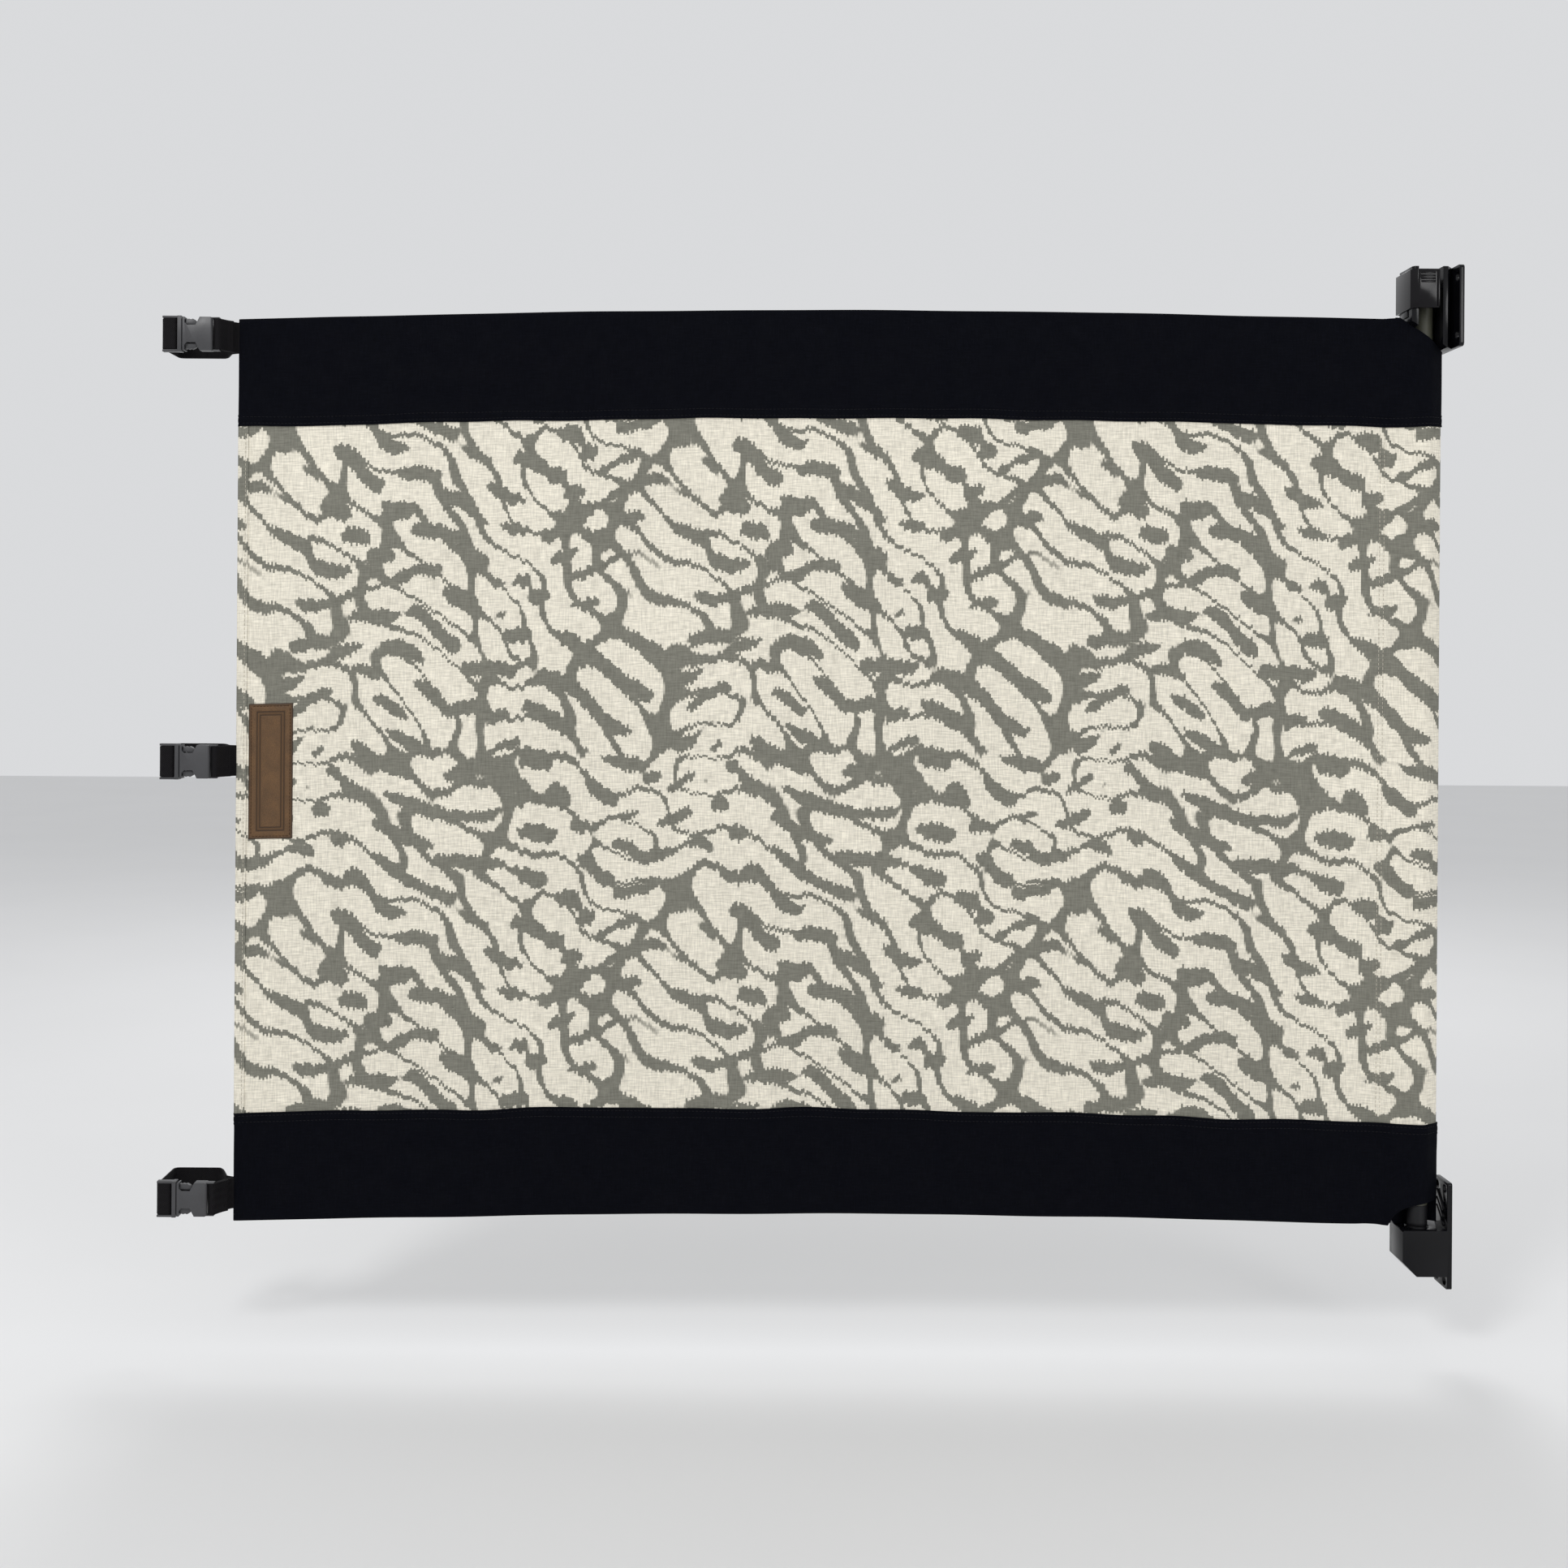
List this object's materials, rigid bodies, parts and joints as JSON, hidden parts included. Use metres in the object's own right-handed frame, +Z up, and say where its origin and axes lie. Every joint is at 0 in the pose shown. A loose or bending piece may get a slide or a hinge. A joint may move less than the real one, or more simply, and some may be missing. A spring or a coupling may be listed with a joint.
{
  "type": "pet gate",
  "caption": "Fabric stair gate for pets: printed cloth panel on a wall rod with a sliding lock, closed round a post by side-release buckle straps.",
  "frame": {"origin": "centre of the four screw holes of the bottom wall bracket, on the wall's face", "axes": "+X out of the gate into the wall, +Z up, -Y towards the room that the gate swings into; the wall's face is x = 0"},
  "size_m": [1.0685, 0.0555, 0.845],
  "materials": {
    "bracket_plastic": "moulded black, satin to gloss",
    "lock_plastic": "moulded black, gloss",
    "rod_steel": "dark grey powder coat, satin",
    "plug_plastic": "moulded black",
    "printed_cloth": "slub weave, cream brush strokes on warm grey",
    "backing_cloth": "plain warm grey slub weave",
    "band_cloth": "plain black canvas, matt",
    "binding_cloth": "the front cloth's own print, folded over the hem, matt",
    "batten_plastic": "hidden, plain",
    "patch_leather": "brown, embossed border, satin",
    "webbing": "black herringbone webbing",
    "buckle_plastic": "moulded black acetal, satin"
  },
  "bodies": {
    "anchors": {"top_bracket": "bracket_plastic", "bottom_bracket": "bracket_plastic", "top_strap_tab": "webbing", "top_strap_loop": "webbing", "top_buckle_socket": "buckle_plastic", "middle_strap_tab": "webbing", "middle_strap_loop": "webbing", "middle_buckle_socket": "buckle_plastic", "bottom_strap_tab": "webbing", "bottom_strap_loop": "webbing", "bottom_buckle_socket": "buckle_plastic"},
    "lock": {"slide_lock": "lock_plastic"},
    "gate": {"front_panel": "printed_cloth", "back_panel": "backing_cloth", "top_band": "band_cloth", "bottom_band": "band_cloth", "hem_binding": "binding_cloth", "hem_batten": "batten_plastic", "label_patch": "patch_leather"},
    "rod": {"wall_rod": "rod_steel", "rod_top_plug": "plug_plastic", "rod_bottom_plug": "plug_plastic"},
    "top_plug": {"top_buckle_plug": "buckle_plastic", "top_strap_tail": "webbing"},
    "top_upper": {"top_prong_upper": "buckle_plastic"},
    "top_lower": {"top_prong_lower": "buckle_plastic"},
    "middle_plug": {"middle_buckle_plug": "buckle_plastic", "middle_strap_tail": "webbing"},
    "middle_upper": {"middle_prong_upper": "buckle_plastic"},
    "middle_lower": {"middle_prong_lower": "buckle_plastic"},
    "bottom_plug": {"bottom_buckle_plug": "buckle_plastic", "bottom_strap_tail": "webbing"},
    "bottom_upper": {"bottom_prong_upper": "buckle_plastic"},
    "bottom_lower": {"bottom_prong_lower": "buckle_plastic"}
  },
  "joints": [
    {"name": "lock_slide", "type": "slide", "parent": "anchors", "child": "lock", "axis": [0, 0, 1], "range_m": [0, 0.028]},
    {"name": "gate_swing", "type": "hinge", "parent": "anchors", "child": "gate", "pos_m": [-1.0125, 0, 0.383], "axis": [0, 0, -1], "range_deg": [0, 100]},
    {"name": "rod_lift", "type": "slide", "parent": "gate", "child": "rod", "axis": [0, 0, 1], "range_m": [0, 0.03]},
    {"name": "top_buckle_release", "type": "slide", "parent": "anchors", "child": "top_plug", "axis": [-1, 0, 0], "range_m": [0, 0.022], "deforming": ["top_prong_upper", "top_prong_lower"]},
    {"name": "top_prong_upper_flex", "type": "hinge", "parent": "top_plug", "child": "top_upper", "pos_m": [-1.05395, -0.01775, 0.747], "axis": [0, 1, 0], "range_deg": [0, 13], "stiffness_Nm_per_rad": 0.2},
    {"name": "top_prong_lower_flex", "type": "hinge", "parent": "top_plug", "child": "top_lower", "pos_m": [-1.05395, -0.01775, 0.729], "axis": [0, -1, 0], "range_deg": [0, 13]},
    {"name": "middle_buckle_release", "type": "slide", "parent": "anchors", "child": "middle_plug", "axis": [-1, 0, 0], "range_m": [0, 0.022], "deforming": ["middle_prong_upper", "middle_prong_lower"]},
    {"name": "middle_prong_upper_flex", "type": "hinge", "parent": "middle_plug", "child": "middle_upper", "pos_m": [-1.05395, -0.01775, 0.395], "axis": [0, 1, 0], "range_deg": [0, 13], "stiffness_Nm_per_rad": 0.2},
    {"name": "middle_prong_lower_flex", "type": "hinge", "parent": "middle_plug", "child": "middle_lower", "pos_m": [-1.05395, -0.01775, 0.377], "axis": [0, -1, 0], "range_deg": [0, 13]},
    {"name": "bottom_buckle_release", "type": "slide", "parent": "anchors", "child": "bottom_plug", "axis": [-1, 0, 0], "range_m": [0, 0.022], "deforming": ["bottom_prong_upper", "bottom_prong_lower"]},
    {"name": "bottom_prong_upper_flex", "type": "hinge", "parent": "bottom_plug", "child": "bottom_upper", "pos_m": [-1.05395, -0.01775, 0.035], "axis": [0, 1, 0], "range_deg": [0, 13], "stiffness_Nm_per_rad": 0.2},
    {"name": "bottom_prong_lower_flex", "type": "hinge", "parent": "bottom_plug", "child": "bottom_lower", "pos_m": [-1.05395, -0.01775, 0.017], "axis": [0, -1, 0], "range_deg": [0, 13]}
  ],
  "couplings": [
    {"joint": "top_prong_lower_flex", "follows": "top_prong_upper_flex", "ratio": 1},
    {"joint": "middle_prong_lower_flex", "follows": "middle_prong_upper_flex", "ratio": 1},
    {"joint": "bottom_prong_lower_flex", "follows": "bottom_prong_upper_flex", "ratio": 1}
  ]
}
